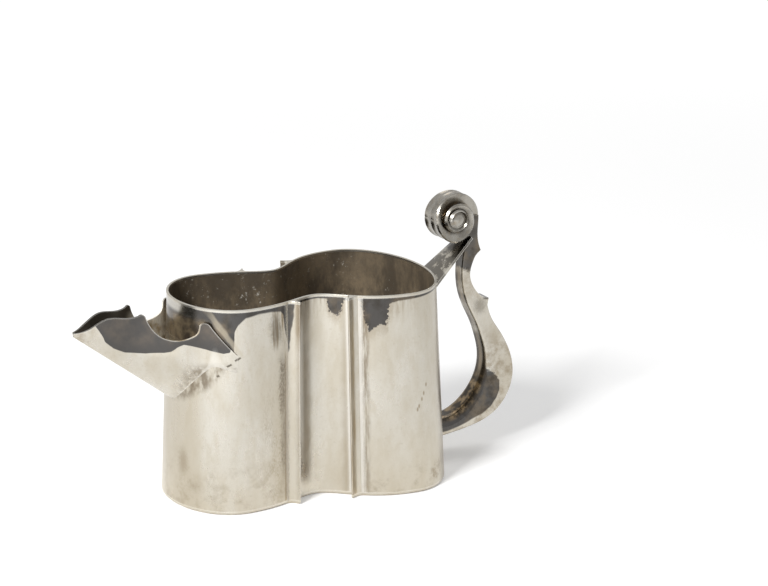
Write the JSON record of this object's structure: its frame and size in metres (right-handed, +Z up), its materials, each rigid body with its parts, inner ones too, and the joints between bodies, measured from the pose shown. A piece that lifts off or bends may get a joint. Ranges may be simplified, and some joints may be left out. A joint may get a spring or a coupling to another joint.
{
  "type": "cream jug",
  "caption": "Silver cream jug whose plan is a violin's outline, with an open scalloped spout and an S-shaped handle topped by a violin scroll.",
  "frame": {"origin": "on the underside, which rests on the table, below the middle of the mouth's length", "axes": "+Z up; +X along the jug towards the handle, with the spout at -X; Y across, and Y = 0 is the plane of symmetry"},
  "size_m": [0.1852, 0.074, 0.1071],
  "materials": {
    "side_silver": "polished silver sheet, softly scratched, with brown-grey tarnish in streaks and on the inside",
    "base_silver": "polished silver sheet, worn dull underneath",
    "post_silver": "polished silver with tarnish in the corners",
    "rim_silver": "bright polished silver edge",
    "spout_silver": "polished silver sheet with small dents and dark tarnish",
    "handle_silver": "cast silver, satin, darker in its hollows",
    "scroll_silver": "cast silver, satin, dark tarnish in the spiral"
  },
  "bodies": {
    "root": {"base_plate": "base_silver", "upper_bout_wall": "side_silver", "waist_wall_near": "side_silver", "waist_wall_far": "side_silver", "lower_bout_wall": "side_silver", "corner_post_upper_near": "post_silver", "corner_post_upper_far": "post_silver", "corner_post_lower_near": "post_silver", "corner_post_lower_far": "post_silver", "rim_wire": "rim_silver", "spout": "spout_silver", "handle_arm": "handle_silver", "handle_scroll": "scroll_silver", "handle_strap": "handle_silver"}
  },
  "joints": []
}
